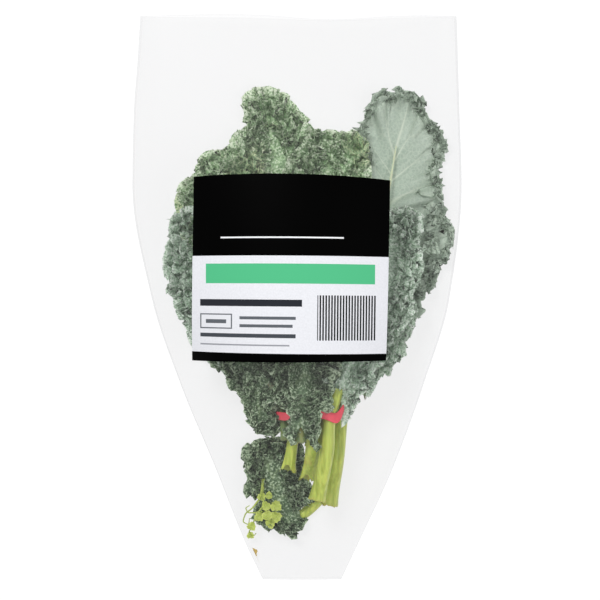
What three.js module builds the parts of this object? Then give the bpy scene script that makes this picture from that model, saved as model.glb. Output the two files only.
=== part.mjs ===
// A bunch of curly kale held by a red rubber band, packed in a clear tapered film sleeve with a label.
// Units are millimetres. +Y runs from the cut stalks to the leaf tips and +Z is up: the sleeve lies flat
// on z = 0, and the origin is under the middle of its outline.
//
// Each leaf is a waved blade with lobes, and a stalk that runs on under it as its midrib. The leaves are
// laid one after another, each draped over those below it, so that none crosses another.

import * as THREE from 'three';

// Sleeve: [y, left edge x, right edge x, height of the front film over the table]
const SLEEVE_STATIONS = [
  [-197.5, -24, 31, 5],
  [-170, -37, 44, 30],
  [-120, -57, 67, 52],
  [-60, -82, 89, 64],
  [0, -102, 107, 68],
  [79, -115.5, 115.5, 66],
  [130, -114.5, 114, 50],
  [165, -112, 113, 28],
  [197.5, -110, 112, 12],
];
const SLEEVE_LENGTH = 395;
const SLEEVE_RINGS = 20;
const SLEEVE_TOP_SPANS = 12;
const SLEEVE_FLOOR_SHARES = [-0.93, -0.86, -0.43, 0, 0.43, 0.86, 0.93];
const FILM = 0.8;
const SEAM_WIDTH = 3;
const SEAM_HEIGHT = 2.5;
const FLAT_SHARE = 0.86;
const BULGE_POWER = 0.8;

// Label, stuck on the front film
const LABEL_WIDTH = 128;
const LABEL_HEIGHT = 120;
const LABEL_CENTRE = [-4.4, 19];
const LABEL_TURN = THREE.MathUtils.degToRad(-1);
const LABEL_THICKNESS = 0.6;
const LABEL_GAP = 1;
const LABEL_SPANS = [12, 8];

// Leaves
const BLADE = 0.8;
const CLEARANCE = 0.45;
const ROW_SHARES = [0, 0.5, 0.8, 1];
const ROW_WAVES = [0, 0.15, 0.6, 1];
const COLUMNS_PER_WAVE = 4;
const LOBE_DEPTH = 0.2;
const VEIN_TURN = 0.6;
const VEIN_SPREAD = 0.75;
const DRAPE_SLOPE = 0.45;
const SETTLE_PASSES = 3;
const STALK_SIDES = 8;
const STALK_STEP = 13;
const STALK_TAPER_END = 1.1;

// Band round the stalks
const BAND_CENTRE = [12.5, -78];
const BAND_TURN = THREE.MathUtils.degToRad(10);
const BAND_THICKNESS = 1.3;
const BAND_WIDTH = 7;
const BAND_STEPS = 48;
const BAND_GAP = 0.7;
const BAND_CLEAR = [33, 7.5];

// Every leaf, from the lowest to the one on top. path is the stalk and midrib in plan, from the cut end;
// from is where along it the blade starts, tip how far the blade reaches past its end, and width the
// half width. waves is the number of ruffles on each side, angle the turn of the lowest vein from the
// midrib in degrees, left the share of its width that the left side keeps, and back marks a leaf that
// shows its underside, with its midrib on top.
const LEAVES = [
  { path: [[2, -102], [3, -78], [-16, -22], [-39, 38], [-49, 70]], from: 66,
    tip: 34, width: 42, waves: 10, angle: 118, ruffle: 5, radius: 4.2, seed: 1 },
  { path: [[26, -100], [29, -78], [50, -18], [69, 21], [78, 41]], from: 70,
    tip: 31, width: 32.5, waves: 8, angle: 118, ruffle: 4.5, radius: 3.8, back: true, seed: 2 },
  { path: [[-4, -98], [-4, -78], [-32, -36], [-56, 8], [-69, 36]], from: 58,
    tip: 30, width: 34, waves: 8, angle: 115, ruffle: 5, radius: 3.6, left: 0.93, seed: 3 },
  { path: [[10, -104], [12, -78], [4, -14], [-8, 50], [-17, 108]], from: 70,
    tip: 41, width: 40, waves: 10, angle: 108, ruffle: 5.5, radius: 4.2, left: 0.94, seed: 4 },
  { path: [[18, -106], [20, -78], [42, -14], [59, 50], [69.5, 106]], from: 72,
    tip: 38.5, width: 46, waves: 10, angle: 110, ruffle: 5, radius: 4.2, left: 0.82, back: true, seed: 5 },
  { path: [[-6.5, -120], [-3, -79], [-17, -62], [-36, -41], [-51, -22]], from: 60,
    tip: 23, width: 24, waves: 7, angle: 105, ruffle: 5, radius: 3.9, left: 0.92, seed: 6 },
  { path: [[14, -100], [16.5, -78], [19, -14], [20, 48], [21, 86]], from: 74,
    tip: 31, width: 38, waves: 8, angle: 110, ruffle: 5, radius: 3.8, seed: 7 },
  { path: [[22.5, -145], [30.5, -80], [43, -50], [55, -26], [62, -4]], from: 86,
    tip: 23, width: 23, waves: 6, angle: 105, ruffle: 5, radius: 3.9, seed: 8 },
  { path: [[5.5, -128], [8.5, -79], [-8, -14], [-26, 40], [-34, 72]], from: 92,
    tip: 34, width: 32, waves: 8, angle: 112, ruffle: 5.5, radius: 4.4, seed: 9 },
  { path: [[13, -139], [21, -79], [44, -24], [60, 18], [67, 38]], from: 80,
    tip: 27, width: 27, waves: 7, angle: 112, ruffle: 5.5, radius: 4.9, seed: 10 },
  { path: [[-8, -98], [-9.5, -80], [-16, -63], [-22, -58], [-26, -66], [-25, -79]], from: 42,
    tip: 14, width: 14, waves: 5, angle: 85, ruffle: 4, radius: 2.6, seed: 11 },
  { path: [[2, -98], [3, -80], [4, -22], [2, 18], [0, 40]], from: 12,
    tip: 36, width: 32, waves: 11, angle: 148, ruffle: 5.5, radius: 3.8, seed: 12 },
];

// The small leaf bent back under the stalks, the pale shoot beside it, and a torn scrap of leaf
const LOW_LEAF = {
  path: [[24, -128], [16, -138], [3, -151], [-6, -155], [-12, -147], [-16, -132], [-20, -113]],
  from: 33, tip: 16, width: 22, waves: 8, angle: 80, ruffle: 3, radius: 3, seed: 13,
};
const SHOOT = {
  path: [[-24, -126], [-24, -136], [-24, -146], [-28, -157]],
  from: 8, tip: 7, width: 9, waves: 4, angle: 85, ruffle: 1.2, radius: 1.3, seed: 14,
};
const SCRAP = { corners: [[-30, -174], [-25, -176], [-26.5, -181.5]], height: 2.8 };

const mulberry = (seed) => () => {
  seed = (seed + 0x6d2b79f5) | 0;
  let t = Math.imul(seed ^ (seed >>> 15), 1 | seed);
  t = (t + Math.imul(t ^ (t >>> 7), 61 | t)) ^ t;
  return ((t ^ (t >>> 14)) >>> 0) / 4294967296;
};
const gap = (a, b) => Math.hypot(a[0] - b[0], a[1] - b[1], a[2] - b[2]);
const mix = (a, b, share) => a + (b - a) * share;
const ease = (share) => THREE.MathUtils.smoothstep(share, 0, 1);

// A smooth curve through rows [x, value], with no overshoot between them.
function through(rows, x) {
  const last = rows.length - 1;
  if (x <= rows[0][0]) return rows[0][1];
  if (x >= rows[last][0]) return rows[last][1];
  const slope = (i) => (rows[i + 1][1] - rows[i][1]) / (rows[i + 1][0] - rows[i][0]);
  const tangent = (i) => {
    if (i === 0) return slope(0);
    if (i === last) return slope(last - 1);
    const [a, b] = [slope(i - 1), slope(i)];
    return a * b <= 0 ? 0 : (2 * a * b) / (a + b);
  };
  const i = rows.findIndex((row) => row[0] > x) - 1;
  const span = rows[i + 1][0] - rows[i][0];
  const t = (x - rows[i][0]) / span;
  const [t2, t3] = [t * t, t * t * t];
  return (2 * t3 - 3 * t2 + 1) * rows[i][1] + (t3 - 2 * t2 + t) * span * tangent(i)
    + (3 * t2 - 2 * t3) * rows[i + 1][1] + (t3 - t2) * span * tangent(i + 1);
}

const column = (index) => SLEEVE_STATIONS.map((row) => [row[0], row[index]]);
const [LEFT_EDGE, RIGHT_EDGE, FILM_HEIGHT] = [1, 2, 3].map(column);

// The sleeve's section at y: its middle, half width and height.
function sleeveAt(y) {
  const [left, right] = [through(LEFT_EDGE, y), through(RIGHT_EDGE, y)];
  return { middle: (left + right) / 2, half: (right - left) / 2, height: through(FILM_HEIGHT, y) };
}

// Height of the front film's outer face.
function filmTop(x, y) {
  const { middle, half, height } = sleeveAt(y);
  const u = Math.min(1, Math.abs(x - middle) / half);
  return SEAM_HEIGHT + (height - SEAM_HEIGHT) * (1 - u * u) ** BULGE_POWER;
}

// Height of the back film's outer face, flat on the table and turned up to the seams.
function filmFloor(x, y) {
  const { middle, half } = sleeveAt(y);
  const u = Math.min(1, Math.abs(x - middle) / half);
  return SEAM_HEIGHT * ease(Math.max(0, (u - FLAT_SHARE) / (1 - FLAT_SHARE)));
}

// A mesh from a solid's vertices and triangles, which it keeps for the band to be fitted to.
function meshOf(name, solid, material) {
  const { points, triangles } = solid;
  const geometry = new THREE.BufferGeometry();
  geometry.setAttribute('position', new THREE.Float32BufferAttribute(points.flat(), 3));
  geometry.setIndex(triangles.flat());
  geometry.computeVertexNormals();
  const mesh = new THREE.Mesh(geometry, material);
  mesh.name = name;
  mesh.userData.solid = solid;
  return mesh;
}

// Vertex normals of an open sheet.
function sheetNormals(points, triangles) {
  const normals = points.map(() => new THREE.Vector3());
  const corner = (i) => new THREE.Vector3(...points[i]);
  for (const [a, b, c] of triangles) {
    const face = corner(b).sub(corner(a)).cross(corner(c).sub(corner(a)));
    for (const i of [a, b, c]) normals[i].add(face);
  }
  return normals.map((n) => n.normalize());
}

// A closed plate of even thickness on both sides of an open sheet whose faces are listed
// anticlockwise from above. Both faces have the same triangles, so they never cross.
function plate(points, triangles, thickness) {
  const normals = sheetNormals(points, triangles);
  const shifted = (side) => points.map((p, i) => [0, 1, 2].map(
    (k) => p[k] + normals[i].getComponent(k) * side * thickness / 2));
  const count = points.length;
  const solid = triangles.map((t) => [...t]);
  for (const [a, b, c] of triangles) solid.push([a + count, c + count, b + count]);
  const edges = new Set(triangles.flatMap(([a, b, c]) => [`${a},${b}`, `${b},${c}`, `${c},${a}`]));
  for (const edge of edges) {
    const [a, b] = edge.split(',').map(Number);
    if (edges.has(`${b},${a}`)) continue;
    solid.push([b, a, a + count], [b, a + count, b + count]);
  }
  return { points: [...shifted(1), ...shifted(-1)], triangles: solid };
}

// Visits points all over triangles, no further apart than spacing, with their shares of the corners.
function overTriangles(points, triangles, spacing, visit) {
  for (const corners of triangles) {
    const [a, b, c] = corners.map((i) => points[i]);
    const longest = Math.max(gap(a, b), gap(b, c), gap(c, a));
    const parts = Math.ceil(longest / spacing);
    for (let i = 0; i <= parts; i++) {
      for (let j = 0; j <= parts - i; j++) {
        const shares = [i / parts, j / parts, 1 - (i + j) / parts];
        const at = [0, 1, 2].map((k) => shares[0] * a[k] + shares[1] * b[k] + shares[2] * c[k]);
        visit(at, corners, shares);
      }
    }
  }
}

// Lifts a sheet's corners until all of it lies clear of the heap.
function settle(points, triangles, heap) {
  const under = BLADE * 0.6 + CLEARANCE;
  for (let pass = 0; pass < SETTLE_PASSES; pass++) {
    overTriangles(points, triangles, 2, ([x, y, z], corners, shares) => {
      const short = heap.top(x, y, 1.5) + under - z;
      if (short <= 0) return;
      const weight = shares.reduce((sum, share) => sum + share * share, 0);
      corners.forEach((corner, k) => { points[corner][2] += (short * shares[k]) / weight; });
    });
  }
}

// What lies in the sleeve so far, as a map of its highest point over each cell of the table.
class HeapMap {
  constructor() {
    this.cell = 1.5;
    this.columns = 174;
    this.rows = 272;
    this.heights = new Float64Array(this.columns * this.rows).fill(FILM);
  }

  cellsNear(x, y, reach, visit) {
    const [cx, cy] = [x / this.cell + this.columns / 2, y / this.cell + this.rows / 2];
    const r = reach / this.cell;
    for (let j = Math.max(0, Math.ceil(cy - r)); j <= Math.min(this.rows - 1, cy + r); j++) {
      for (let i = Math.max(0, Math.ceil(cx - r)); i <= Math.min(this.columns - 1, cx + r); i++) {
        const away = Math.hypot(i - cx, j - cy);
        if (away <= r) visit(j * this.columns + i, away * this.cell);
      }
    }
  }

  // The highest point within reach of a place.
  top(x, y, reach) {
    let highest = FILM;
    this.cellsNear(x, y, reach, (k) => { highest = Math.max(highest, this.heights[k]); });
    return highest;
  }

  // The lowest height at which a ball of this radius clears everything below it.
  ballRest(x, y, radius) {
    let lowest = 0;
    this.cellsNear(x, y, radius, (k, away) => {
      lowest = Math.max(lowest, this.heights[k] + Math.sqrt(Math.max(0, radius ** 2 - away ** 2)));
    });
    return lowest;
  }

  raise(x, y, reach, height) {
    this.cellsNear(x, y, reach, (k) => { this.heights[k] = Math.max(this.heights[k], height); });
  }

  // Adds a solid by points all over its faces.
  add({ points, triangles }) {
    overTriangles(points, triangles, this.cell * 0.7, ([x, y, z]) => this.raise(x, y, this.cell * 0.75, z));
  }
}

// The stalk's line in plan, with its length.
function planCurve(path) {
  const curve = new THREE.CatmullRomCurve3(path.map(([x, y]) => new THREE.Vector3(x, y, 0)));
  curve.arcLengthDivisions = 400;
  return { curve, length: curve.getLength() };
}

// Radius of the stalk at a share of its length: full to the blade, then tapering as a midrib.
const stalkRadius = (leaf, share, start) =>
  leaf.radius * (share < start ? mix(1.08, 0.86, share / start)
    : mix(0.86, STALK_TAPER_END / leaf.radius, ((share - start) / (1 - start)) ** 0.8));

// Heights of the stalk's centre line: clear of what lies below, and gently curved.
function stalkHeights(leaf, plan, start, heap, window = 22) {
  const step = 3;
  const count = Math.ceil(plan.length / step);
  const need = [];
  for (let i = 0; i <= count; i++) {
    const p = plan.curve.getPointAt(i / count);
    const r = stalkRadius(leaf, i / count, start);
    need.push(heap.ballRest(p.x, p.y, r + CLEARANCE));
  }
  const reach = Math.round(window / step);
  const within = (list, i, pick) => pick(list.slice(Math.max(0, i - reach), i + reach + 1));
  const lifted = need.map((_, i) => within(need, i, (near) => Math.max(...near)));
  const average = (near) => near.reduce((a, b) => a + b) / near.length;
  const level = lifted.map((_, i) => within(lifted, i, average));
  return (share) => {
    const at = Math.min(count, Math.max(0, share * count));
    const i = Math.min(count - 1, Math.floor(at));
    return mix(level[i], level[i + 1], at - i);
  };
}

// A round rod along the plan curve at the given heights, with slanting cut ends.
function stalkSolid(leaf, plan, start, heightAt) {
  const steps = Math.ceil(plan.length / STALK_STEP);
  const points = [];
  const triangles = [];
  for (let i = 0; i <= steps; i++) {
    const share = i / steps;
    const p = plan.curve.getPointAt(share);
    const t = plan.curve.getTangentAt(share);
    const r = stalkRadius(leaf, share, start);
    for (let k = 0; k < STALK_SIDES; k++) {
      const a = ((k + 0.5) / STALK_SIDES) * 2 * Math.PI;
      const side = Math.cos(a) * r;
      points.push([p.x + t.y * side, p.y - t.x * side, heightAt(share) + Math.sin(a) * r]);
    }
  }
  for (let i = 0; i < steps; i++) {
    for (let k = 0; k < STALK_SIDES; k++) {
      const next = (k + 1) % STALK_SIDES;
      const [a, b] = [i * STALK_SIDES + k, i * STALK_SIDES + next];
      triangles.push([a, a + STALK_SIDES, b], [b, a + STALK_SIDES, b + STALK_SIDES]);
    }
  }
  const end = steps * STALK_SIDES;
  for (let k = 1; k < STALK_SIDES - 1; k++) triangles.push([0, k, k + 1], [end, end + k + 1, end + k]);
  return { points, triangles };
}

// Whether a place in plan is where the band runs, which blades below it keep out of.
function nearBand(x, y) {
  const [dx, dy] = [x - BAND_CENTRE[0], y - BAND_CENTRE[1]];
  const along = dx * Math.cos(BAND_TURN) + dy * Math.sin(BAND_TURN);
  const across = dy * Math.cos(BAND_TURN) - dx * Math.sin(BAND_TURN);
  return Math.abs(along) < BAND_CLEAR[0] && Math.abs(across) < BAND_CLEAR[1];
}

// The blade as a sheet: columns run out from the midrib to the edge, left and right of it, from the
// lowest vein round to the tip, where the two sides meet.
function bladeSheet(leaf, plan, start, midribHeight, heap, overBand) {
  const random = mulberry(leaf.seed);
  const columns = leaf.waves * COLUMNS_PER_WAVE;
  const reach = [[0, 0.62], [0.3, 0.92], [0.6, 1], [0.85, 0.98], [1, leaf.tip / leaf.width]];
  const lobes = Math.max(3, Math.round(leaf.waves / 2));
  const points = [];
  const ids = new Map();
  const idOf = (i, j) => ids.get(`${i},${i === columns ? Math.abs(j) : j}`);
  const rows = ROW_SHARES.length - 1;
  for (const side of [1, -1]) {
    for (let i = 0; i <= columns; i++) {
      if (side < 0 && i === columns) continue;
      const along = i / columns;
      const share = mix(start, 1, along ** VEIN_SPREAD);
      const p = plan.curve.getPointAt(share);
      const t = plan.curve.getTangentAt(share);
      const turn = side * THREE.MathUtils.degToRad(leaf.angle) * (1 - along) ** VEIN_TURN;
      const dx = t.x * Math.cos(turn) - t.y * Math.sin(turn);
      const dy = t.x * Math.sin(turn) + t.y * Math.cos(turn);
      const notch = (0.5 - 0.5 * Math.cos(2 * Math.PI * lobes * along)) ** 2;
      const lean = side > 0 ? mix(leaf.left ?? 1, 1, along ** 6) : 1;
      const lobe = 1 - LOBE_DEPTH * notch * (1 - along * 0.6);
      const out = leaf.width * through(reach, along) * lobe * lean;
      const rise = leaf.ruffle * mix(0.75, 1.15, random()) * mix(0.5, 1, along);
      const wave = Math.sin((Math.PI / 2) * (i + 1)) * rise;
      const spine = midribHeight(share);
      ROW_SHARES.forEach((row, j) => {
        if (j === 0 && side < 0) return;
        let far = out * row;
        while (!overBand && far > 1 && nearBand(p.x + dx * far, p.y + dy * far)) far *= 0.95;
        const [x, y] = [p.x + dx * far, p.y + dy * far];
        const swing = leaf.ruffle * ROW_WAVES[j];
        const rest = heap.top(x, y, 1.5) + BLADE + CLEARANCE;
        const level = Math.max(mix(spine, rest + swing * 0.5, row ** 1.2), spine - DRAPE_SLOPE * far);
        const z = j === 0 ? spine : Math.max(rest, level + wave * ROW_WAVES[j]);
        ids.set(`${i},${side * j}`, points.length);
        points.push([x, y, z]);
      });
    }
  }
  const triangles = [];
  for (let i = 0; i < columns; i++) {
    for (let j = -rows; j < rows; j++) {
      const [a, b, c, d] = [idOf(i, j), idOf(i + 1, j), idOf(i + 1, j + 1), idOf(i, j + 1)];
      if (j < 0) triangles.push([a, b, c], [a, c, d]);
      else triangles.push([a, b, d], [b, c, d]);
    }
  }
  settle(points, triangles, heap);
  return { points, triangles };
}

const MATERIALS = {
  blade: new THREE.MeshStandardMaterial({ color: 0x4f6b45, roughness: 0.6, metalness: 0 }),
  back: new THREE.MeshStandardMaterial({ color: 0x8fa489, roughness: 0.65, metalness: 0 }),
  stalk: new THREE.MeshStandardMaterial({ color: 0xa9b758, roughness: 0.45, metalness: 0 }),
  shoot: new THREE.MeshStandardMaterial({ color: 0xb7c060, roughness: 0.5, metalness: 0 }),
  scrap: new THREE.MeshStandardMaterial({ color: 0xd0b35a, roughness: 0.6, metalness: 0 }),
  band: new THREE.MeshStandardMaterial({ color: 0xe5485a, roughness: 0.45, metalness: 0 }),
  film: new THREE.MeshStandardMaterial({
    color: 0xf2f4f3, roughness: 0.2, transparent: true, opacity: 0.16,
  }),
  label: new THREE.MeshStandardMaterial({ color: 0xf0f1f4, roughness: 0.35, metalness: 0 }),
};

// Lays one leaf on the heap: its blade on its stalk, or under it where the leaf shows its back.
// Between the two, beforeBlade may lay something of its own.
function layLeaf(leaf, name, heap, materials, beforeBlade) {
  const plan = planCurve(leaf.path);
  const start = leaf.from / plan.length;
  const solids = {};
  const layBlade = (midribHeight) => {
    const sheet = bladeSheet(leaf, plan, start, midribHeight, heap, Boolean(beforeBlade));
    solids.blade = plate(sheet.points, sheet.triangles, BLADE);
    heap.add(solids.blade);
  };
  const layStalk = (window) => {
    const heights = stalkHeights(leaf, plan, start, heap, window);
    solids.stalk = stalkSolid(leaf, plan, start, heights);
    heap.add(solids.stalk);
    return heights;
  };
  if (leaf.back) {
    layBlade(stalkHeights({ ...leaf, radius: 1 }, plan, start, heap, STALK_STEP));
    layStalk(STALK_STEP * 0.7);
  } else {
    const heights = layStalk(STALK_STEP);
    if (beforeBlade) beforeBlade(solids.stalk);
    layBlade((share) => heights(share) + stalkRadius(leaf, share, start) + CLEARANCE + BLADE / 2);
  }
  return [
    meshOf(`${name}_blade`, solids.blade, materials[0]),
    meshOf(`${name}_stalk`, solids.stalk, materials[1]),
  ];
}

// The outline of points in a plane, anticlockwise.
function hull(points) {
  const sorted = [...points].sort((a, b) => a[0] - b[0] || a[1] - b[1]);
  const chain = (list) => {
    const kept = [];
    for (const p of list) {
      const turns = () => {
        const [a, b] = kept.slice(-2);
        return (b[0] - a[0]) * (p[1] - a[1]) - (b[1] - a[1]) * (p[0] - a[0]) <= 0;
      };
      while (kept.length > 1 && turns()) kept.pop();
      kept.push(p);
    }
    return kept.slice(0, -1);
  };
  return [...chain(sorted), ...chain(sorted.reverse())];
}

// The band: a flat loop drawn tight round everything that crosses its plane.
function makeBand(solids) {
  const [cos, sin] = [Math.cos(BAND_TURN), Math.sin(BAND_TURN)];
  const inside = [];
  const lie = (x, y) => [(x - BAND_CENTRE[0]) * cos + (y - BAND_CENTRE[1]) * sin,
    (y - BAND_CENTRE[1]) * cos - (x - BAND_CENTRE[0]) * sin];
  for (const { points, triangles } of solids) {
    overTriangles(points, triangles, 1.5, ([x, y, z]) => {
      const [along, across] = lie(x, y);
      const near = Math.abs(across) < BAND_WIDTH / 2 + 1.5 && Math.abs(along) < BAND_CLEAR[0];
      if (near) inside.push([along, z]);
    });
  }
  const outline = hull(inside);
  const path = new THREE.CatmullRomCurve3(outline.map(([a, z]) => new THREE.Vector3(a, z, 0)), true,
    'centripetal');
  const middle = path.getSpacedPoints(60).reduce((sum, p) => sum.add(p), new THREE.Vector3());
  middle.divideScalar(61);
  const points = [];
  const triangles = [];
  for (let i = 0; i < BAND_STEPS; i++) {
    const p = path.getPointAt(i / BAND_STEPS);
    const t = path.getTangentAt(i / BAND_STEPS);
    const out = new THREE.Vector3(t.y, -t.x, 0);
    if (out.dot(p.clone().sub(middle)) < 0) out.negate();
    for (const [offset, side] of [[BAND_GAP, -1], [BAND_GAP, 1],
      [BAND_GAP + BAND_THICKNESS, 1], [BAND_GAP + BAND_THICKNESS, -1]]) {
      const [along, z] = [p.x + out.x * offset, p.y + out.y * offset];
      const across = (side * BAND_WIDTH) / 2;
      const x = BAND_CENTRE[0] + along * cos - across * sin;
      const y = BAND_CENTRE[1] + along * sin + across * cos;
      points.push([x, y, z]);
    }
  }
  for (let i = 0; i < BAND_STEPS; i++) {
    const next = (i + 1) % BAND_STEPS;
    for (let k = 0; k < 4; k++) {
      const [a, b, c, d] = [i * 4 + k, i * 4 + ((k + 1) % 4), next * 4 + ((k + 1) % 4), next * 4 + k];
      triangles.push([a, c, b], [a, d, c]);
    }
  }
  return { points, triangles };
}

// A scrap of leaf lying on the back film.
function makeScrap() {
  const points = SCRAP.corners.map(([x, y]) => [x, y, SCRAP.height]);
  const solid = plate(points, [[0, 2, 1]], BLADE);
  return meshOf('leaf_scrap', solid, MATERIALS.scrap);
}

// The sleeve: two films joined by a seam along each side, open at both ends.
function makeSleeve() {
  const points = [];
  const triangles = [];
  const turnAt = (k) => (Math.PI * k) / SLEEVE_TOP_SPANS;
  const topShares = Array.from({ length: SLEEVE_TOP_SPANS + 1 }, (_, k) => Math.cos(turnAt(k)));
  const count = topShares.length + SLEEVE_FLOOR_SHARES.length;
  for (let i = 0; i <= SLEEVE_RINGS; i++) {
    const y = -SLEEVE_LENGTH / 2 + (SLEEVE_LENGTH * i) / SLEEVE_RINGS;
    const { middle, half } = sleeveAt(y);
    for (const u of topShares) points.push([middle + u * half, y, filmTop(middle + u * half, y)]);
    for (const u of SLEEVE_FLOOR_SHARES) {
      points.push([middle + u * half, y, filmFloor(middle + u * half, y)]);
    }
    topShares.forEach((u, k) => {
      const x = middle + u * (half - SEAM_WIDTH);
      const atSeam = k === 0 || k === SLEEVE_TOP_SPANS;
      const z = atSeam ? (filmTop(x, y) + filmFloor(x, y)) / 2 : filmTop(x, y) - FILM;
      points.push([x, y, z]);
    });
    for (const u of SLEEVE_FLOOR_SHARES) {
      const x = middle + u * (half - SEAM_WIDTH);
      points.push([x, y, filmFloor(x, y) + FILM]);
    }
  }
  for (let k = 0; k < count; k++) {
    const next = (k + 1) % count;
    const at = (i, n, inner) => (i * 2 + (inner ? 1 : 0)) * count + n;
    for (let i = 0; i < SLEEVE_RINGS; i++) {
      const [a, b, c, d] = [at(i, k), at(i, next), at(i + 1, next), at(i + 1, k)];
      triangles.push([a, c, b], [a, d, c]);
      const [e, f, g, h] = [at(i, k, true), at(i, next, true), at(i + 1, next, true), at(i + 1, k, true)];
      triangles.push([e, f, g], [e, g, h]);
    }
    triangles.push([at(0, k), at(0, next), at(0, next, true)]);
    triangles.push([at(0, k), at(0, next, true), at(0, k, true)]);
    const last = SLEEVE_RINGS;
    triangles.push([at(last, k), at(last, next, true), at(last, next)]);
    triangles.push([at(last, k), at(last, k, true), at(last, next, true)]);
  }
  return meshOf('sleeve', { points, triangles }, MATERIALS.film);
}

// The label follows the front film at an even gap.
function makeLabel() {
  const [across, down] = LABEL_SPANS;
  const points = [];
  const triangles = [];
  const [cos, sin] = [Math.cos(LABEL_TURN), Math.sin(LABEL_TURN)];
  for (let j = 0; j <= down; j++) {
    for (let i = 0; i <= across; i++) {
      const [u, v] = [(i / across - 0.5) * LABEL_WIDTH, (j / down - 0.5) * LABEL_HEIGHT];
      const x = LABEL_CENTRE[0] + u * cos - v * sin;
      const y = LABEL_CENTRE[1] + u * sin + v * cos;
      points.push([x, y, filmTop(x, y) + LABEL_GAP + LABEL_THICKNESS / 2]);
    }
  }
  for (let j = 0; j < down; j++) {
    for (let i = 0; i < across; i++) {
      const a = j * (across + 1) + i;
      triangles.push([a, a + 1, a + across + 2], [a, a + across + 2, a + across + 1]);
    }
  }
  const solid = plate(points, triangles, LABEL_THICKNESS);
  return meshOf('label', solid, MATERIALS.label);
}

const bunch = new THREE.Group();
const heap = new HeapMap();
const lay = (leaf, name, materials, beforeBlade) => {
  bunch.add(...layLeaf(leaf, name, heap, materials, beforeBlade));
};
const layBand = (topStalk) => {
  const stalks = bunch.children.filter((mesh) => mesh.name.endsWith('_stalk'));
  const crossing = stalks.map((mesh) => mesh.userData.solid);
  const solid = makeBand([...crossing, topStalk]);
  heap.add(solid);
  bunch.add(meshOf('tie_band', solid, MATERIALS.band));
};
for (let along = -BAND_CLEAR[0]; along <= BAND_CLEAR[0]; along += heap.cell) {
  const x = BAND_CENTRE[0] + along * Math.cos(BAND_TURN);
  const y = BAND_CENTRE[1] + along * Math.sin(BAND_TURN);
  heap.raise(x, y, BAND_WIDTH, FILM + BAND_GAP + BAND_THICKNESS + CLEARANCE);
}
lay(LOW_LEAF, 'low_leaf', [MATERIALS.blade, MATERIALS.stalk]);
lay(SHOOT, 'shoot', [MATERIALS.shoot, MATERIALS.shoot]);
LEAVES.forEach((leaf, i) => {
  const name = `leaf_${String(i + 1).padStart(2, '0')}`;
  const onTop = i === LEAVES.length - 1;
  lay(leaf, name, [leaf.back ? MATERIALS.back : MATERIALS.blade, MATERIALS.stalk], onTop ? layBand : null);
});
bunch.add(makeScrap(), makeSleeve(), makeLabel());

export default bunch;
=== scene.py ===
"""Looks of a bunch of curly kale in a clear film sleeve, seen from above. Lengths are in metres."""

import math

import bpy
import numpy as np
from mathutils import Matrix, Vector
from mathutils.bvhtree import BVHTree


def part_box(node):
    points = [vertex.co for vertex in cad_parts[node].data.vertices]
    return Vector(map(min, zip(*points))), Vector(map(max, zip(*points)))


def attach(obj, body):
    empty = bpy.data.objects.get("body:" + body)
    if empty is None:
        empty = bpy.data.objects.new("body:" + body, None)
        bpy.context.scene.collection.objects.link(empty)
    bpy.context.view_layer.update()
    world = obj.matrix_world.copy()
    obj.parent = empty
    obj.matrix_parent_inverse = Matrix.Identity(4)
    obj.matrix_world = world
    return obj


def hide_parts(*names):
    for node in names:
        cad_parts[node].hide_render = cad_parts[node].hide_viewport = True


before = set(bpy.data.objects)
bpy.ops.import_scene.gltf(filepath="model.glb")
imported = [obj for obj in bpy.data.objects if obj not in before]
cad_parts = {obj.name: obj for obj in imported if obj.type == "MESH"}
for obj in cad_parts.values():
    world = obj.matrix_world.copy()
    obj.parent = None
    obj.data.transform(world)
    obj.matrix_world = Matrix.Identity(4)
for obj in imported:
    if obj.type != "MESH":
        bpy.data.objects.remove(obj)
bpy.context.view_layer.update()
MM = 0.001

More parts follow.
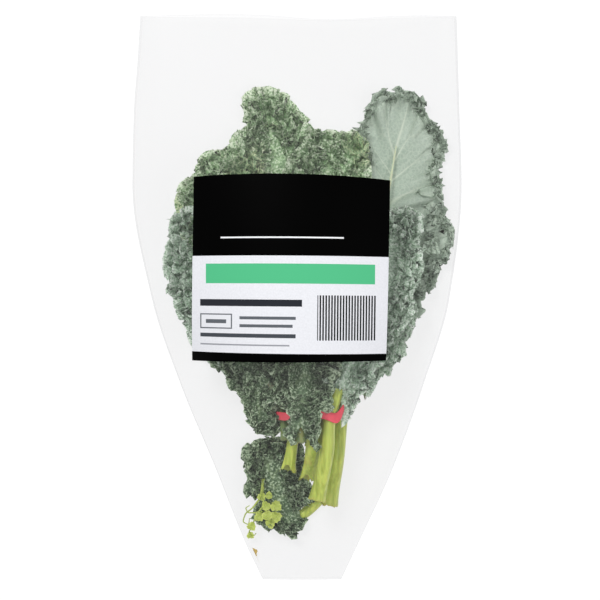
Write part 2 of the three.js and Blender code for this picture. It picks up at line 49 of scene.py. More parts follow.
# Leaves after the CAD source, in millimetres and degrees. path is the midrib's plan from the cut end to
# the tip. start is where along it the blade begins, tip how far the blade reaches past its end, width its
# half width, waves about twice its number of lobes, angle its lowest vein's turn and radius the stalk's.
# left is the left half's share of the width at the base, split a stalk that has torn open at its end, and
# back a leaf that shows its back. The shoot's blade is drawn from LEAFLETS and TENDRILS instead.
LEAVES = {
    "leaf_01": dict(path=[(2, -102), (3, -78), (-16, -22), (-39, 38), (-49, 70)],
                    start=66, tip=34, width=42, waves=10, angle=118, radius=4.2),
    "leaf_02": dict(path=[(26, -100), (29, -78), (50, -18), (69, 21), (78, 41)],
                    start=70, tip=31, width=32.5, waves=8, angle=118, radius=3.8, back=True),
    "leaf_03": dict(path=[(-4, -98), (-4, -78), (-32, -36), (-56, 8), (-69, 36)],
                    start=58, tip=30, width=34, waves=8, angle=115, radius=3.6, left=0.93),
    "leaf_04": dict(path=[(10, -104), (12, -78), (4, -14), (-8, 50), (-17, 108)],
                    start=70, tip=41, width=40, waves=10, angle=108, radius=4.2, left=0.94),
    "leaf_05": dict(path=[(18, -106), (20, -78), (42, -14), (59, 50), (69.5, 106)],
                    start=72, tip=38.5, width=46, waves=10, angle=110, radius=4.2, left=0.82, back=True),
    "leaf_06": dict(path=[(-6.5, -121), (-3.7, -104), (-2, -79), (-17, -62), (-36, -41), (-51, -22)],
                    start=60, tip=23, width=24, waves=7, angle=105, radius=3.9, left=0.92, split=True),
    "leaf_07": dict(path=[(14, -100), (16.5, -78), (19, -14), (20, 48), (21, 86)],
                    start=74, tip=31, width=38, waves=8, angle=110, radius=3.8),
    "leaf_08": dict(path=[(22.5, -145), (28, -108), (31.4, -80), (43, -50), (55, -26), (62, -4)],
                    start=86, tip=23, width=23, waves=6, angle=105, radius=4.8),
    "leaf_09": dict(path=[(6.8, -128), (10, -108), (10.2, -79), (-8, -14), (-26, 40), (-34, 72)],
                    start=92, tip=34, width=32, waves=8, angle=112, radius=4.4, split=True),
    "leaf_10": dict(path=[(13.5, -139), (20, -106), (22.3, -79), (44, -24), (60, 18), (67, 38)],
                    start=80, tip=27, width=27, waves=7, angle=150, radius=4.9),
    "leaf_11": dict(path=[(-8, -98), (-9.5, -80), (-16, -63), (-22, -58), (-26, -66), (-25, -79)],
                    start=42, tip=14, width=14, waves=5, angle=85, radius=2.6),
    "leaf_12": dict(path=[(2, -98), (3, -80), (4, -22), (2, 18), (0, 40)],
                    start=12, tip=36, width=32, waves=11, angle=148, radius=3.8),
    "low_leaf": dict(path=[(24.5, -128.5), (17, -139), (4, -152), (-6, -155), (-12, -147), (-16, -132),
                           (-20, -113)],
                     start=33, tip=16, width=22, waves=8, angle=105, radius=4.4),
    "shoot": dict(path=[(-24, -126), (-24, -136), (-24, -146), (-28, -157)], start=8, radius=1.3),
}
# Share of the half width that the blade reaches, at shares of the way along it
REACH = [(0, 0.62), (0.3, 0.92), (0.6, 1), (0.85, 0.98)]
LOBE_DEPTH = 0.2
VEIN_TURN = 0.6
VEIN_SPREAD = 0.75
STALK_TAPER_END = 1.1
STALK_STEP = 1.3
STALK_SIDES = 32
REACH_PAST = 2.5
SMALL_LEAF = 20
SMALL_LEAF_SCALE = 0.75
BLADE_SEED = 100
STALK_SEED = 200

# Where a curled edge swells past its even outline, or stays short of it: side (1 is left of the midrib),
# place along the blade, spread and millimetres
OUTLINE_BUMPS = {
    "leaf_01": [(1, 0.77, 0.1, 5), (1, 0.92, 0.05, -5)],
    "leaf_02": [(-1, 0.45, 0.12, -6), (-1, 0.84, 0.12, 8)],
    "leaf_03": [(1, 0.12, 0.12, 6), (1, 0.36, 0.11, 7), (1, 0.76, 0.15, -2)],
    "leaf_04": [(1, 0.95, 0.05, 12), (1, 0.875, 0.04, -4), (1, 0.79, 0.04, 2), (-1, 0.93, 0.06, 3)],
    "leaf_05": [(1, 0.93, 0.05, 15), (1, 0.86, 0.05, 8), (1, 0.75, 0.06, -8), (1, 0.6, 0.15, -4),
                (-1, 0.77, 0.08, -2), (-1, 0.6, 0.13, -6)],
    "leaf_06": [(1, 0.6, 0.3, -3), (1, 0.06, 0.08, 7)],
    "leaf_07": [(-1, 0.88, 0.08, 12)],
    "leaf_10": [(-1, 0, 0.16, 10)],
    "leaf_11": [(1, 0.85, 0.3, 9), (-1, 0.7, 0.3, -3)],
    "leaf_12": [(1, 0, 0.13, -9), (-1, 0, 0.12, -4)],
    "low_leaf": [(1, 0, 0.12, -5), (1, 0.2, 0.07, 3), (1, 0.36, 0.08, -6), (1, 0.5, 0.08, -5),
                 (1, 0.84, 0.1, 5), (-1, 0.05, 0.2, 10), (-1, 0.34, 0.12, 8), (-1, 0.68, 0.14, 11)],
}

# Sleeve as in the CAD source: [y, left edge, right edge, height of the front film], in millimetres
SLEEVE_STATIONS = np.array([
    (-197.5, -24, 31, 5), (-170, -37, 44, 30), (-120, -57, 67, 52), (-60, -82, 89, 64), (0, -102, 107, 68),
    (79, -115.5, 115.5, 66), (130, -114.5, 114, 50), (165, -112, 113, 28), (197.5, -110, 112, 12)], float)
SLEEVE_HALF_LENGTH = 197.5
SEAM_HEIGHT = 2.5
FLAT_SHARE = 0.86
BULGE_POWER = 0.8
LABEL_CENTRE = (-4.4, 19.0)
LABEL_SIZE = (128.0, 120.0)
LABEL_TURN = math.radians(-1)
PRINT_TURN = math.radians(-0.45)
# How far the label's corners stand off a true rectangle, left and right, and how far its top edge bows up
LABEL_CORNERS = {"top": ((-1.2, 0.3), (1.3, -0.2)), "bottom": ((-1.8, -2.9), (1.0, 0.0))}
LABEL_BOW = 1.6
LABEL_GAP = 1.3

# Least room between what is inside and the front and the back film, and between it and the side seams
ROOM_ABOVE = 1.2
ROOM_BELOW = 1.0
ROOM_BESIDE = 3


def ease(x):
    x = np.clip(x, 0, 1)
    return x * x * (3 - 2 * x)


def mix(a, b, share):
    return a + (b - a) * share


def through(x, y, at):
    """A smooth curve through the points (x, y), with no overshoot, at the places asked for."""
    slope = np.diff(y) / np.diff(x)
    tangent = np.concatenate([slope[:1], np.zeros(len(x) - 2), slope[-1:]])
    product, total = slope[:-1] * slope[1:], slope[:-1] + slope[1:]
    tangent[1:-1] = np.where(product > 0, 2 * product / np.where(total == 0, 1, total), 0)
    at = np.clip(at, x[0], x[-1])
    i = np.clip(np.searchsorted(x, at, side="right") - 1, 0, len(x) - 2)
    span = x[i + 1] - x[i]
    t = (at - x[i]) / span
    return ((2 * t ** 3 - 3 * t ** 2 + 1) * y[i] + (t ** 3 - 2 * t ** 2 + t) * span * tangent[i]
            + (3 * t ** 2 - 2 * t ** 3) * y[i + 1] + (t ** 3 - t ** 2) * span * tangent[i + 1])


def sleeve_edges(y):
    """Left edge, right edge and height of the sleeve."""
    return [through(SLEEVE_STATIONS[:, 0], SLEEVE_STATIONS[:, k], y) for k in (1, 2, 3)]


def film_top(x, y):
    """Height of the front film."""
    left, right, height = sleeve_edges(y)
    u = np.clip(np.abs(x - (left + right) / 2) / ((right - left) / 2), 0, 1)
    return SEAM_HEIGHT + (height - SEAM_HEIGHT) * (1 - u * u) ** BULGE_POWER


def film_floor(x, y):
    """Height of the back film, which rises to the seams."""
    left, right, _ = sleeve_edges(y)
    u = np.clip(np.abs(x - (left + right) / 2) / ((right - left) / 2), 0, 1)
    return SEAM_HEIGHT * ease((u - FLAT_SHARE) / (1 - FLAT_SHARE))


def inside_sleeve(grid):
    """Points pushed in gently where they would come through the film."""
    x, y, z = grid[..., 0], grid[..., 1], grid[..., 2]
    left, right, _ = sleeve_edges(y)
    x = np.clip(x, left + ROOM_BESIDE, right - ROOM_BESIDE)
    roof = film_top(x, y) - ROOM_ABOVE
    ground = film_floor(x, y) + ROOM_BELOW
    over = np.maximum(0, z - (roof - 2))
    z = np.where(z > roof - 2, roof - 2 + 2 * over / (over + 2), z)
    return np.dstack([x, y, np.maximum(z, np.minimum(ground, roof))])


class Plan:
    """A stalk's smooth line in plan, through its points, by arc length."""

    def __init__(self, path):
        p = np.array(path, float)
        p = np.vstack([2 * p[0] - p[1], p, 2 * p[-1] - p[-2]])
        knots = np.concatenate([[0], np.cumsum(np.linalg.norm(np.diff(p, axis=0), axis=1) ** 0.5)])
        line = []
        for i in range(1, len(p) - 2):
            t = np.linspace(knots[i], knots[i + 1], 80, endpoint=i == len(p) - 3)[:, None]
            line.append(self.span(p[i - 1:i + 3], knots[i - 1:i + 3], t))
        self.points = np.vstack(line)
        steps = np.linalg.norm(np.diff(self.points, axis=0), axis=1)
        self.along = np.concatenate([[0], np.cumsum(steps)])
        self.length = self.along[-1]

    @staticmethod
    def span(p, k, t):
        def blend(a, b, low, high):
            return a * (high - t) / (high - low) + b * (t - low) / (high - low)

        a1, a2, a3 = (blend(p[i], p[i + 1], k[i], k[i + 1]) for i in range(3))
        b1, b2 = blend(a1, a2, k[0], k[2]), blend(a2, a3, k[1], k[3])
        return blend(b1, b2, k[1], k[2])

    def at(self, share):
        s = np.asarray(share) * self.length
        return np.stack([np.interp(s, self.along, self.points[:, k]) for k in (0, 1)], -1)

    def tangent(self, share):
        step = 0.01
        d = self.at(np.minimum(1, share + step)) - self.at(np.maximum(0, share - step))
        return d / np.linalg.norm(d, axis=-1, keepdims=True)


def surface_of(node):
    """The CAD node's mesh for casting rays at."""
    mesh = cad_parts[node].data
    corners = [v.co.copy() for v in mesh.vertices]
    return BVHTree.FromPolygons(corners, [tuple(p.vertices) for p in mesh.polygons])


def middle_height(node):
    """Half way up the CAD node's box, in millimetres."""
    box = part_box(node)
    return 500 * (box[0][2] + box[1][2])


def heights(tree, xy, fallback):
    """Height of the surface's upper face under each place, in millimetres."""
    out = np.empty(len(xy))
    down = Vector((0, 0, -1))
    for i, (x, y) in enumerate(xy):
        hit = tree.ray_cast(Vector((x * MM, y * MM, 0.3)), down)[0]
        if hit is None:
            hit = tree.find_nearest(Vector((x * MM, y * MM, fallback * MM)))[0]
        out[i] = hit.z / MM
    return out


def smoothed(grid, passes, axis):
    """A grid of numbers smoothed along one axis."""
    for _ in range(passes):
        pad = [(1, 1) if k == axis else (0, 0) for k in range(grid.ndim)]
        wide = np.pad(grid, pad, mode="edge")
        low = np.take(wide, range(0, grid.shape[axis]), axis)
        high = np.take(wide, range(2, grid.shape[axis] + 2), axis)
        grid = 0.5 * grid + 0.25 * (low + high)
    return grid


def wander(rng, s, scale):
    """Smooth noise from -1 to 1 along a line, with bumps of about that length."""
    count = int(s[-1] / scale) + 4
    values = rng.uniform(-1, 1, count)
    x = s / scale
    i = np.minimum(x.astype(int), count - 2)
    return mix(values[i], values[i + 1], ease(x - i))


def unit(v):
    return v / np.maximum(np.linalg.norm(v, axis=-1, keepdims=True), 1e-9)


def frames_of(grid):
    """Unit tangents across and out, and normals, of a grid of points (rows out, columns round)."""
    round_ = np.gradient(grid, axis=1)
    out = np.gradient(grid, axis=0)
    normal = unit(np.cross(out, round_))
    normal *= np.where(normal[..., 2:3] < -0.2, -1, 1)
    return unit(round_), unit(out), normal


def ruffle(grid, s, t, levels, rng):
    """Curls a sheet towards its rim. Each level is (wavelength, height, start share, curl), and rides on
    the one before. s is the length round the rim and t the share out to it."""
    for wavelength, height, start, curl in levels:
        across, out, normal = frames_of(smoothed(smoothed(grid, 2, 1), 1, 0))
        phase = 2 * np.pi * s / wavelength + 1.7 * wander(rng, s, wavelength * 2.3)
        size = height * (1 + 0.45 * wander(rng, s, wavelength * 3.1))
        lean = 0.5 * wander(rng, s, wavelength * 1.9)
        rise = (ease((t - start) / (1 - start)) ** 0.8)[:, None] * size[None, :]
        wave = np.sin(phase)[None, :]
        swing = np.sin(2 * phase)[None, :] * curl
        grid = grid + (normal * (wave * rise)[..., None] + across * (swing * rise)[..., None]
                       + out * ((lean[None, :] - 0.35 * np.abs(wave)) * rise)[..., None])
    return grid


def mesh_from_grids(name, grids):
    """One mesh from grids of points in millimetres, each with named values for every point."""
    points, faces, values = [], [], {}
    base = 0
    for grid, data in grids:
        rows, columns = grid.shape[:2]
        points.append(grid.reshape(-1, 3) * MM)
        index = base + np.arange(rows * columns).reshape(rows, columns)
        quads = np.stack([index[:-1, :-1], index[1:, :-1], index[1:, 1:], index[:-1, 1:]], -1)
        faces.append(quads.reshape(-1, 4))
        for key, value in data.items():
            values.setdefault(key, []).append(np.broadcast_to(value, (rows, columns)).reshape(-1))
        base += rows * columns
    points = np.vstack(points)
    faces = np.vstack(faces)
    mesh = bpy.data.meshes.new(name)
    mesh.vertices.add(len(points))
    mesh.vertices.foreach_set("co", points.astype(np.float32).reshape(-1))
    mesh.loops.add(faces.size)
    mesh.loops.foreach_set("vertex_index", faces.astype(np.int32).reshape(-1))
    mesh.polygons.add(len(faces))
    mesh.polygons.foreach_set("loop_start", np.arange(0, faces.size, 4, dtype=np.int32))
    mesh.polygons.foreach_set("use_smooth", np.full(len(faces), True))
    mesh.update(calc_edges=True)
    for key, value in values.items():
        attribute = mesh.attributes.new(key, "FLOAT", "POINT")
        attribute.data.foreach_set("value", np.concatenate(value).astype(np.float32))
    piece = bpy.data.objects.new(name, mesh)
    bpy.context.scene.collection.objects.link(piece)
    return piece


def blade_base(leaf, name, columns, rows):
    """The blade's surface as a grid, its heights read from the CAD node, with the rim's length."""
    plan = Plan(leaf["path"])
    start = leaf["start"] / plan.length
    around = np.linspace(0, 2, columns)
    along = np.where(around <= 1, around, 2 - around)
    side = np.where(around <= 1, 1.0, -1.0)
    share = mix(start, 1, along ** VEIN_SPREAD)
    p, t = plan.at(share), plan.tangent(share)
    turn = side * math.radians(leaf["angle"]) * (1 - along) ** VEIN_TURN
    d = np.stack([t[:, 0] * np.cos(turn) - t[:, 1] * np.sin(turn),
                  t[:, 0] * np.sin(turn) + t[:, 1] * np.cos(turn)], -1)
    lobes = max(3, round(leaf["waves"] / 2))
    notch = (0.5 - 0.5 * np.cos(2 * np.pi * lobes * along)) ** 2
    stations = REACH + [(1, leaf["tip"] / leaf["width"])]
    reach = np.interp(along, *zip(*stations))
    lean = np.where(side > 0, mix(leaf.get("left", 1), 1, along ** 6), 1)
    out = leaf["width"] * reach * (1 - LOBE_DEPTH * notch * (1 - along * 0.6)) * lean
    out = out + REACH_PAST * min(1, leaf["width"] / 30)
    for way, centre, spread, size in OUTLINE_BUMPS.get(name, ()):
        out = out + size * np.exp(-((along - centre) / spread) ** 2) * (side == way) * (1 - along ** 12)
    out_share = np.linspace(0, 1, rows)
    xy = p[None] + d[None] * (out[None, :] * out_share[:, None])[..., None]
    tree = surface_of(name + "_blade")
    middle = middle_height(name + "_blade")
    coarse = np.arange(0, columns, 3)
    z = np.empty((rows, columns))
    for j in range(rows):
        z[j] = np.interp(np.arange(columns), coarse, heights(tree, xy[j, coarse], middle))
    z = smoothed(smoothed(z, 12, 1), 1, 0)
    rim = np.concatenate([[0], np.cumsum(np.linalg.norm(np.diff(xy[-1], axis=0), axis=1))])
    return np.dstack([xy, z]), rim, out_share


# Points of a blade's grid: millimetres between its columns, and rows of a curled leaf and of a flat one
COLUMN_WIDTH = 0.46
ROWS = 16
FLAT_ROWS = 20

# Curls as (wavelength, height, share out at which they start, swing): of curled leaves, of flat ones and of
# the ridges that stand on both. Ridges as (share out at which one stands, height).
LEVELS = [(12.0, 4.4, 0.2, 0.6), (5.6, 2.5, 0.4, 0.6), (2.7, 1.15, 0.6, 0.45)]
FLAT_LEVELS = [(46.0, 4.2, 0.1, 0.1), (15.0, 2.0, 0.45, 0.3), (6.0, 1.9, 0.76, 0.5), (2.8, 1.0, 0.82, 0.4)]
RIDGE_LEVELS = [(9.0, 3.0, 0.0, 0.6), (4.4, 2.0, 0.1, 0.6), (2.3, 0.95, 0.3, 0.45)]
RIDGES = ((0.28, 6), (0.45, 7), (0.62, 7), (0.8, 6.5))
FLAT_RIDGES = ((0.82, 4.4), (0.93, 4.4))
VEIN_SPACING = 17.0
FLAT_VEIN_SPACING = 30.0


def scaled(levels, scale):
    return [(wavelength * scale, height * scale, start, curl) for wavelength, height, start, curl in levels]


def vein_pattern(s, t, spacing, rng):
    """Veins from the midrib out to the rim, uneven and forking, and the midrib's own end, as 0 to 1."""
    place = s[None, :] / spacing + 0.35 * wander(rng, s, spacing * 1.6)[None, :]
    place = place + 0.12 * np.sin(4 * t[:, None])
    spread = 0.24 * np.clip((t[:, None] - 0.4) / 0.6, 0, 1)
    away = np.abs((place + 0.5) % 1 - 0.5)
    near = np.abs(away - spread) * spacing * (0.3 + t[:, None])
    width = 0.8 * (1.1 - t[:, None])
    veins = np.exp(-(near / width) ** 2) * (1.0 - 0.75 * t[:, None])
    middle = np.abs(s - s[-1] / 2)[None, :] * (0.06 + t[:, None])
    return np.maximum(veins, np.exp(-(middle / (1.2 * (1.15 - t[:, None]))) ** 2))


def make_blade(name, leaf, material, seed):
    """A blade with a curled rim, and curled ridges that stand on it."""
    rng = np.random.default_rng(seed)
    flat = leaf.get("back", False)
    rim_length = 2.1 * (Plan(leaf["path"]).length - leaf["start"] + 1.2 * leaf["width"])
    rows = FLAT_ROWS if flat else ROWS
    base, s, t = blade_base(leaf, name, int(rim_length / COLUMN_WIDTH), rows)
    scale = SMALL_LEAF_SCALE if leaf["width"] < SMALL_LEAF else 1
    sheet = ruffle(base, s, t, scaled(FLAT_LEVELS if flat else LEVELS, scale), rng)
    veins = vein_pattern(s, t, FLAT_VEIN_SPACING if flat else VEIN_SPACING, rng)
    grids = [(inside_sleeve(sheet), {"rim": t[:, None], "vein": veins})]
    _, outward, normal = frames_of(base)
    v = np.linspace(0, 1, 5)
    for place, length in FLAT_RIDGES if flat else RIDGES:
        j = round(place * (rows - 1))
        size = length * scale * (1 + 0.4 * wander(rng, s, 9))
        size = size * np.minimum(1, 3 * np.sin(np.pi * s / s[-1]) + 0.2)
        lean = 0.5 + 0.4 * wander(rng, s, 12)
        way = outward[j] * lean[:, None] + normal[j] * 0.85
        ridge = sheet[j][None] + way[None] * (v[:, None] * size[None, :])[..., None]
        ridge = ruffle(ridge, s, v, scaled(RIDGE_LEVELS, scale), rng)
        grids.append((inside_sleeve(ridge), {"rim": v[:, None], "vein": np.zeros((1, 1))}))
    piece = mesh_from_grids(name + "_curls", grids)
    piece.data.materials.append(material)
    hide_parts(name + "_blade")
    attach(piece, "root")
    return piece


def stalk_radius(leaf, share, start):
    """The stalk's radius along it: nearly even where bare, then a rib that runs out towards the tip."""
    bare = mix(1.08, 0.86, share / start)
    end = STALK_TAPER_END * (0.5 if leaf.get("back") else 1) / leaf["radius"]
    rib = mix(0.86, end, np.clip((share - start) / (1 - start), 0, 1) ** 0.6)
    return leaf["radius"] * np.where(share < start, bare, rib)


def make_stalk(name, leaf, material, seed):
    """A ribbed rod along the leaf's line, with a ragged cut end, some of them split and flared."""
    rng = np.random.default_rng(seed)
    plan = Plan(leaf["path"])
    start = leaf["start"] / plan.length
    steps = max(50, int(plan.length / STALK_STEP))
    share = np.linspace(0, 1, steps)
    p, t = plan.at(share), plan.tangent(share)
    radius = stalk_radius(leaf, share, start)
    tree = surface_of(name + "_stalk")
    inset = np.clip(share, 0.01, 0.995)
    z = heights(tree, plan.at(inset), middle_height(name + "_stalk")) - radius * 0.95
    z = smoothed(z, 30, 0)
    a = np.linspace(0, 2 * np.pi, STALK_SIDES + 1)
    ridges = 1 + 0.05 * np.cos(5 * a + rng.uniform(0, 6)) + 0.035 * np.cos(9 * a + rng.uniform(0, 6))
    knobs = 1 + 0.05 * wander(rng, share * plan.length, 14)
    r = radius[:, None] * ridges[None, :] * knobs[:, None]
    from_end = share * plan.length
    split = leaf.get("split", False)
    flare = np.exp(-from_end / 5)[:, None]
    r = r * (1 + (0.34 if split else 0.1) * flare * (0.55 + 0.45 * np.cos(2 * a + 0.4))[None, :])
    side = np.cos(a)[None, :] * r
    rise = np.sin(a)[None, :] * r
    grid = np.dstack([p[:, :1] + t[:, 1:] * side, p[:, 1:] - t[:, :1] * side, z[:, None] + rise])
    teeth = rng.uniform(0, 1, STALK_SIDES) * (2.6 if split else 1.6)
    teeth = np.append(teeth, teeth[0])
    if split:
        teeth += 5.5 * np.exp(-((np.abs(a - 1.7)) / 0.5) ** 2)
    pull = np.exp(-from_end / 4)[:, None] * teeth[None, :]
    ahead = np.dstack([t[:, :1] * pull, t[:, 1:] * pull, pull * 0])
    grid = inside_sleeve(grid + ahead * min(1, leaf["radius"] / 3))
    hollow = 0.3 + (4.0 if split else 1.2) * leaf["radius"] / 4
    cut = grid[0].mean(axis=0)
    rings = np.linspace(1, 0, 7)[:, None, None]
    inward = np.array([t[0, 0], t[0, 1], 0]) * hollow
    cap = cut + (grid[0][None] - cut) * rings + inward * (1 - rings ** 3)
    # The cut's colour grows towards the middle of the hollowed end: the cut's own colour, with painted shade
    # in the hollow.
    cap_cut_and_hollow_shade = mix(0.35, 1, 1 - rings[:, :, 0])
    near_cut = 0.8 * np.exp(-from_end / 1.2)[:, None]
    grids = [(grid, {"cut": near_cut, "along": share[:, None]}),
             (cap[::-1], {"cut": cap_cut_and_hollow_shade[::-1], "along": np.zeros((1, 1))})]
    piece = mesh_from_grids(name + "_rod", grids)
    piece.data.materials.append(material)
    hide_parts(name + "_stalk")
    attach(piece, "root")
    return piece


def tube(points, radius, sides=8):
    """A thin round rod through the points, as a grid."""
    points = np.array(points, float)
    knots = np.linspace(0, 1, len(points))
    fine = np.linspace(0, 1, 12 * len(points))
    line = np.stack([through(knots, points[:, k], fine) for k in range(3)], -1)
    ahead = np.gradient(line, axis=0)
    ahead /= np.linalg.norm(ahead, axis=1, keepdims=True)
    side = np.cross(ahead, (0, 0, 1.0))
    side /= np.maximum(np.linalg.norm(side, axis=1, keepdims=True), 1e-6)
    up = np.cross(side, ahead)
    a = np.linspace(0, 2 * np.pi, sides + 1)
    r = radius * (1.1 - 0.6 * fine)[:, None, None]
    sideways = side[:, None] * np.cos(a)[None, :, None]
    return line[:, None] + r * (sideways + up[:, None] * np.sin(a)[None, :, None])


# Leaflets as (x, y, z, size, direction in degrees), tendrils as lists of points, in millimetres
LEAFLETS = [(-25, -135, 15, 5.5, -80), (-23, -141, 16, 6.5, -60), (-18, -142, 16, 7.5, -30),
            (-16.5, -148, 15.5, 7.5, -60), (-20, -147, 16, 7, -100), (-24, -149, 15, 6.5, -130),
            (-19, -153, 14, 6.5, -80), (-30.5, -156, 10, 6, -110), (-33, -163.5, 6, 5, -80),
            (-22, -136, 15, 5, -20)]
TENDRILS = [[(-25, -138, 15), (-31, -146, 13), (-36, -151, 9), (-37.5, -156, 8.5), (-34, -158, 9),
             (-33, -153.5, 10)],
            [(-23, -144, 15), (-28, -149, 14), (-33.5, -149.5, 11.5), (-35.5, -146.5, 11),
             (-33, -144.5, 11.5)],
            [(-24, -130, 14), (-25, -137, 16), (-22, -143, 16), (-21, -149, 15.5)],
            [(-24, -148, 14), (-29, -153, 12), (-31, -159, 9), (-33.5, -164, 7), (-30.5, -166.5, 6),
             (-28.5, -164.5, 7)]]
TENDRIL_RADIUS = 0.55


def make_shoot(material):
    """Small lobed leaflets and thin tendrils."""
    rng = np.random.default_rng(31)
    grids = []
    round_ = np.linspace(0, 2 * np.pi, 61)
    out = np.linspace(0, 1, 9)
    for x, y, z, size, direction in LEAFLETS:
        lobes = 1 + 0.1 * np.cos(3 * round_ + rng.uniform(0, 6))
        lobes = lobes + 0.07 * np.cos(8 * round_ + rng.uniform(0, 6))
        ahead = math.radians(direction)
        u = (0.55 + 0.5 * np.cos(round_) * out[:, None] * lobes) * size
        v = 0.5 * np.sin(round_) * out[:, None] * lobes * size
        lift = 1.3 * np.cos(3 * round_ + rng.uniform(0, 6)) * out[:, None] ** 2 + 0.35 * np.abs(v)
        grid = np.dstack([x + u * math.cos(ahead) - v * math.sin(ahead),
                          y + u * math.sin(ahead) + v * math.cos(ahead), z + lift])
        grids.append((inside_sleeve(grid), {"rim": out[:, None], "vein": np.zeros((1, 1))}))
    for line in TENDRILS:
        grid = tube(line, TENDRIL_RADIUS)
        grids.append((inside_sleeve(grid), {"rim": np.full((1, 1), 0.3), "vein": np.zeros((1, 1))}))
    piece = mesh_from_grids("shoot_sprigs", grids)
    piece.data.materials.append(material)
    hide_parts("shoot_blade")
    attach(piece, "root")
    return piece


class Nodes:
    """Short calls for building a material's node tree."""

    def __init__(self, name):
        self.material = bpy.data.materials.new(name)
        self.material.use_nodes = True
        self.tree = self.material.node_tree
        self.tree.nodes.clear()
        self.output = self.tree.nodes.new("ShaderNodeOutputMaterial")

    def add(self, kind, values=None, **settings):
        node = self.tree.nodes.new("ShaderNode" + kind)
        for key, value in settings.items():
            setattr(node, key, value)
        for key, value in (values or {}).items():
            if isinstance(value, bpy.types.NodeSocket):
                self.tree.links.new(value, node.inputs[key])
            else:
                node.inputs[key].default_value = value
        return node

    def attribute(self, name):
        return self.add("Attribute", attribute_name=name).outputs["Fac"]

    def noise(self, scale, detail=3.0, rough=0.5):
        place = self.add("TexCoord").outputs["Object"]
        values = {"Vector": place, "Scale": scale, "Detail": detail, "Roughness": rough}
        return self.add("TexNoise", values).outputs[0]

    def spread(self, value, low, high, to_low=0.0, to_high=1.0):
        """The stretch from low to high carried over to another one, and held at its ends."""
        ends = {"From Min": low, "From Max": high, "To Min": to_low, "To Max": to_high}
        return self.add("MapRange", {"Value": value, **ends}).outputs[0]

    def ramp(self, value, *stops):
        node = self.add("ValToRGB", {"Fac": value})
        points = node.color_ramp.elements
        while len(points) < len(stops):
            points.new(0.5)
        for point, (place, colour) in zip(points, stops):
            point.position = place
            point.color = (*colour, 1)
        return node.outputs["Color"]

    def blend(self, share, a, b):
        node = self.add("Mix", data_type="RGBA")
        for key, value in (("Factor", share), ("A", a), ("B", b)):
            socket = [s for s in node.inputs if s.name == key and s.enabled][0]
            if isinstance(value, bpy.types.NodeSocket):
                self.tree.links.new(value, socket)
            else:
                socket.default_value = (*value, 1) if isinstance(value, tuple) else value
        return [s for s in node.outputs if s.enabled][0]

    def bump(self, height, strength, distance):
        values = {"Height": height, "Strength": strength, "Distance": distance}
        return self.add("Bump", values).outputs["Normal"]

    def finish(self, shader):
        self.tree.links.new(shader, self.output.inputs["Surface"])
        return self.material


def srgb(red, green, blue):
    """Linear colour of an sRGB colour given from 0 to 255."""
    shares = [c / 255 for c in (red, green, blue)]
    return tuple(c / 12.92 if c <= 0.04 else ((c + 0.055) / 1.055) ** 2.4 for c in shares)


def leaf_material(name, dark, light, vein, rim, speckle=0.75, yellow=0.0):
    """Painted shade in the depths, lighter towards the rim (the edges' own paler colour and painted
    highlight), with a pale net of veins, pale specks of painted highlight and dark specks of painted shade.
    """
    n = Nodes(name)
    patches = n.noise(38, 4)
    fine = n.noise(640, 2, 0.5)
    out = n.attribute("rim")
    body = n.ramp(patches, (0.32, dark), (0.7, light))
    # Lighter towards the rim: partly the curled edges' own paler colour, partly painted highlight; the depths
    # near the midrib stay darker as painted shade.
    body = n.blend(n.spread(out, 0.1, 0.8, 0.0, 0.6), body, light)
    if yellow:
        young = n.spread(n.noise(30, 2), 0.56, 0.68, 0.0, yellow)
        rim = n.blend(young, rim, srgb(206, 214, 96))
    place = n.add("TexCoord").outputs["Object"]
    cells = n.add("TexVoronoi", {"Vector": place, "Scale": 380.0}, feature="DISTANCE_TO_EDGE")
    net = n.spread(cells.outputs["Distance"], 0.0, 0.12, 0.4, 0.0)
    body = n.blend(net, body, vein)
    body = n.blend(n.attribute("vein"), body, vein)
    # Pale flecks near the edges and pale specks all over take the rim colour: painted highlights.
    edge = n.spread(out, 0.66, 0.96)
    glint_mask = n.spread(fine, 0.4, 0.56)
    painted_rim_glints = n.add("Math", {0: edge, 1: glint_mask}, operation="MULTIPLY").outputs[0]
    body = n.blend(painted_rim_glints, body, rim)
    body = n.blend(n.spread(fine, 0.53, 0.62, 0.0, speckle), body, rim)
    # Dark specks are painted shade in the crinkles.
    painted_shade_pits = n.spread(fine, 0.46, 0.38, 0.0, speckle * 0.6)
    body = n.blend(painted_shade_pits, body, tuple(c * 0.45 for c in dark))
    normal = n.bump(fine, speckle, 0.0016)
    shader = n.add("BsdfPrincipled", {"Base Color": body, "Roughness": 0.5, "Normal": normal,
                                      "Specular IOR Level": 0.4})
    through = n.add("BsdfTranslucent", {"Color": body})
    share = n.add("MixShader", {"Fac": 0.2})
    n.tree.links.new(shader.outputs[0], share.inputs[1])
    n.tree.links.new(through.outputs[0], share.inputs[2])
    return n.finish(share.outputs[0])


